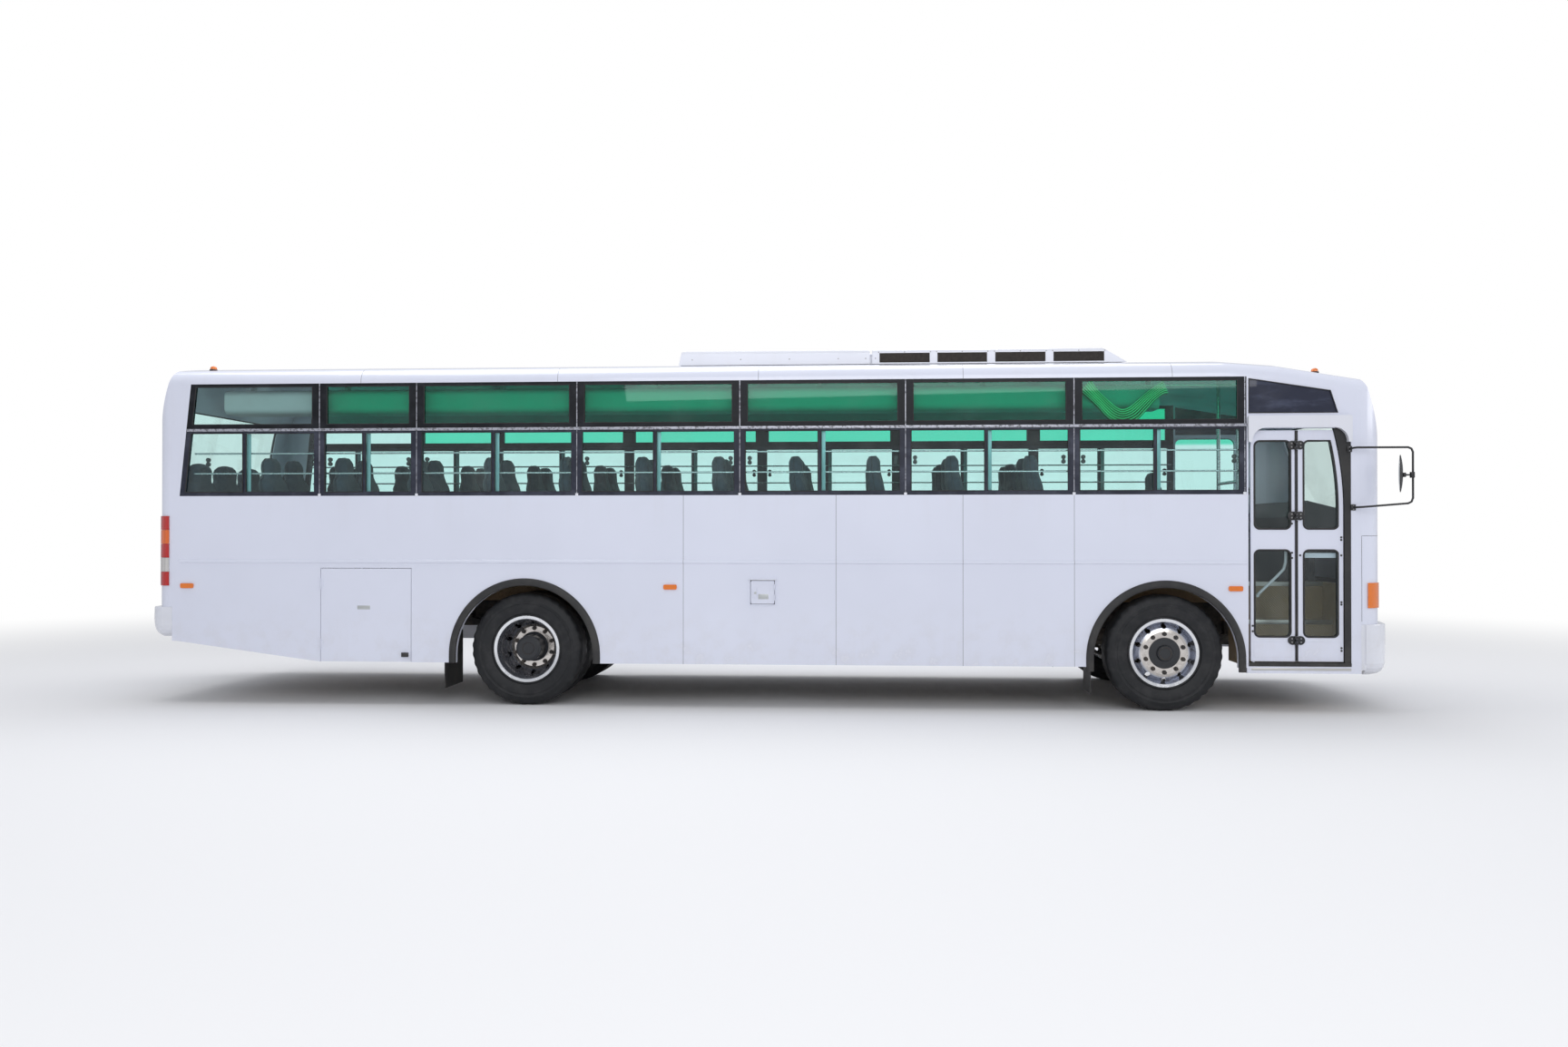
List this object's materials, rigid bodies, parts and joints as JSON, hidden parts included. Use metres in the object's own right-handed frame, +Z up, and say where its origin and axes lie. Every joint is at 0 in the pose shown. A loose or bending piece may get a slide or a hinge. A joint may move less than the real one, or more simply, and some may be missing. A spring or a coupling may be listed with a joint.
{
  "type": "airport passenger bus",
  "caption": "Full-size airport passenger bus with a folding entrance door, steered front wheels, twin rear wheels, hinged flaps and a seated cabin.",
  "frame": {"origin": "on the ground, below the middle of the bus's length and width", "axes": "+X to the front, +Y to the driver's side, +Z up"},
  "size_m": [11.2245, 2.85, 3.232],
  "materials": {
    "paint_white": "gloss white paint",
    "moulded_white": "gloss painted moulding",
    "black_frame": "satin black rubber and worn edges",
    "tinted_glass": "green tinted glass",
    "clear_glass": "clear glass",
    "chassis_paint": "black chassis paint with dust",
    "bare_metal": "brushed steel",
    "tank_metal": "bare aluminium",
    "exhaust_steel": "heat-tinted steel",
    "floor_vinyl": "tan chequered vinyl",
    "black_rubber": "black rubber",
    "lamp_clear": "clear lamp lens",
    "lamp_red": "red lamp lens",
    "lamp_amber": "amber lamp lens",
    "duct_plastic": "light grey plastic",
    "seat_cloth": "blue-grey seat cloth",
    "dash_plastic": "dark textured plastic",
    "tyre_rubber": "tyre rubber",
    "rim_paint": "silver-grey worn paint"
  },
  "bodies": {
    "body": {"chassis_frame": "chassis_paint", "engine_block": "chassis_paint", "propshaft": "chassis_paint", "front_axle": "chassis_paint", "rear_axle": "chassis_paint", "leaf_springs": "chassis_paint", "fuel_tank": "tank_metal", "air_tanks": "tank_metal", "exhaust": "exhaust_steel", "floor": "floor_vinyl", "stepwell": "floor_vinyl", "locker_box": "bare_metal", "side_right": "paint_white", "side_right_front": "paint_white", "side_left": "paint_white", "door_surround": "paint_white", "driver_side_panel": "paint_white", "window_frames": "black_frame", "side_glass": "tinted_glass", "roof": "paint_white", "front_mask": "moulded_white", "windscreen": "clear_glass", "rear_end": "moulded_white", "rear_glass": "tinted_glass", "front_bumper": "moulded_white", "rear_bumper": "moulded_white", "arch_trims": "black_rubber", "mudflaps": "black_rubber", "head_lamps": "lamp_clear", "tail_lamps": "lamp_red", "marker_lamps": "lamp_amber", "door_canopy": "moulded_white", "door_seals": "black_rubber", "ac_unit": "moulded_white", "mirrors": "dash_plastic", "interior_rails": "bare_metal", "ducts": "duct_plastic", "passenger_seats": "seat_cloth", "rear_bench": "seat_cloth", "driver_seat": "seat_cloth", "dashboard": "dash_plastic", "engine_cover": "dash_plastic"},
    "hand_wheel": {"hand_wheel": "dash_plastic"},
    "door_rear": {"door_rear_leaf": "paint_white", "door_glass_rear": "clear_glass"},
    "door_front": {"door_front_leaf": "paint_white", "door_glass_front": "clear_glass"},
    "locker_lid": {"locker_flap": "paint_white"},
    "fuel_lid": {"fuel_flap": "paint_white"},
    "steer_right": {"knuckle_right": "chassis_paint"},
    "steer_left": {"knuckle_left": "chassis_paint"},
    "track_rod": {"tie_rod": "chassis_paint"},
    "wheel_front_right": {"tyre_front_right": "tyre_rubber", "rim_front_right": "rim_paint"},
    "wheel_front_left": {"tyre_front_left": "tyre_rubber", "rim_front_left": "rim_paint"},
    "wheels_rear_right": {"tyres_rear_right": "tyre_rubber", "rims_rear_right": "rim_paint"},
    "wheels_rear_left": {"tyres_rear_left": "tyre_rubber", "rims_rear_left": "rim_paint"}
  },
  "joints": [
    {"name": "steer_right", "type": "hinge", "parent": "body", "child": "steer_right", "pos_m": [3.5545, -0.9, 0.505], "axis": [0, 0, 1], "range_deg": [-38, 38]},
    {"name": "steer_left", "type": "hinge", "parent": "body", "child": "steer_left", "pos_m": [3.5545, 0.9, 0.505], "axis": [0, 0, 1], "range_deg": [-38, 38]},
    {"name": "track_rod_pivot", "type": "hinge", "parent": "steer_right", "child": "track_rod", "pos_m": [3.2545, -0.9, 0.359], "axis": [0, 0, 1], "range_deg": [-38, 38]},
    {"name": "hand_wheel_turn", "type": "hinge", "parent": "body", "child": "hand_wheel", "pos_m": [4.7045, 0.69, 1.89], "axis": [-0.5, 0, 0.866], "range_deg": [-760, 760]},
    {"name": "spin_front_right", "type": "hinge", "parent": "steer_right", "child": "wheel_front_right", "pos_m": [3.5545, -1.08, 0.505], "axis": [0, 1, 0], "continuous": true},
    {"name": "spin_front_left", "type": "hinge", "parent": "steer_left", "child": "wheel_front_left", "pos_m": [3.5545, 1.08, 0.505], "axis": [0, 1, 0], "continuous": true},
    {"name": "spin_rear_right", "type": "hinge", "parent": "body", "child": "wheels_rear_right", "pos_m": [-2.0855, 0, 0.505], "axis": [0, 1, 0], "continuous": true},
    {"name": "spin_rear_left", "type": "hinge", "parent": "body", "child": "wheels_rear_left", "pos_m": [-2.0855, 0, 0.505], "axis": [0, 1, 0], "continuous": true},
    {"name": "door_fold", "type": "hinge", "parent": "body", "child": "door_rear", "pos_m": [4.3065, -1.217, 1.44], "axis": [0, 0, 1], "range_deg": [0, 85]},
    {"name": "door_leaf_fold", "type": "hinge", "parent": "door_rear", "child": "door_front", "pos_m": [4.6635, -1.255, 1.44], "axis": [0, 0, 1], "range_deg": [-170, 0]},
    {"name": "locker_open", "type": "hinge", "parent": "body", "child": "locker_lid", "pos_m": [-3.9535, -1.256, 0.8], "axis": [0, 0, 1], "range_deg": [-100, 0]},
    {"name": "fuel_open", "type": "hinge", "parent": "body", "child": "fuel_lid", "pos_m": [0.1595, -1.256, 1.026], "axis": [0, 0, 1], "range_deg": [0, 110]}
  ],
  "couplings": [
    {"joint": "steer_left", "follows": "steer_right", "ratio": 1},
    {"joint": "track_rod_pivot", "follows": "steer_right", "ratio": -1},
    {"joint": "hand_wheel_turn", "follows": "steer_right", "ratio": 20},
    {"joint": "door_leaf_fold", "follows": "door_fold", "ratio": -2}
  ]
}
